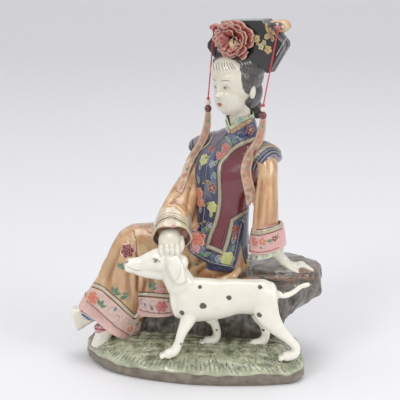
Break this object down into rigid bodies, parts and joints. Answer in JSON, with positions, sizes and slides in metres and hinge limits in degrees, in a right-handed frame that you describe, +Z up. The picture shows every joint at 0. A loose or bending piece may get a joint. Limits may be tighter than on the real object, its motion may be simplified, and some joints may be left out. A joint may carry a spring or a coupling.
{
  "type": "porcelain lady figurine",
  "caption": "Seated court lady with a hound, on a boulder and a grassy base, in one piece of glazed porcelain with red tassel cords.",
  "frame": {"origin": "on the flat underside, in the middle of the base's footprint", "axes": "+Z up, -Y towards the side that the dog stands on, +X towards the lady's left hand"},
  "size_m": [0.2245, 0.1283, 0.308],
  "materials": {
    "porcelain": "gloss glaze over painted enamels",
    "thread": "twisted red thread"
  },
  "bodies": {
    "root": {"porcelain_lady_and_dog": "porcelain", "near_red_thread": "thread", "far_red_thread": "thread"}
  },
  "joints": []
}
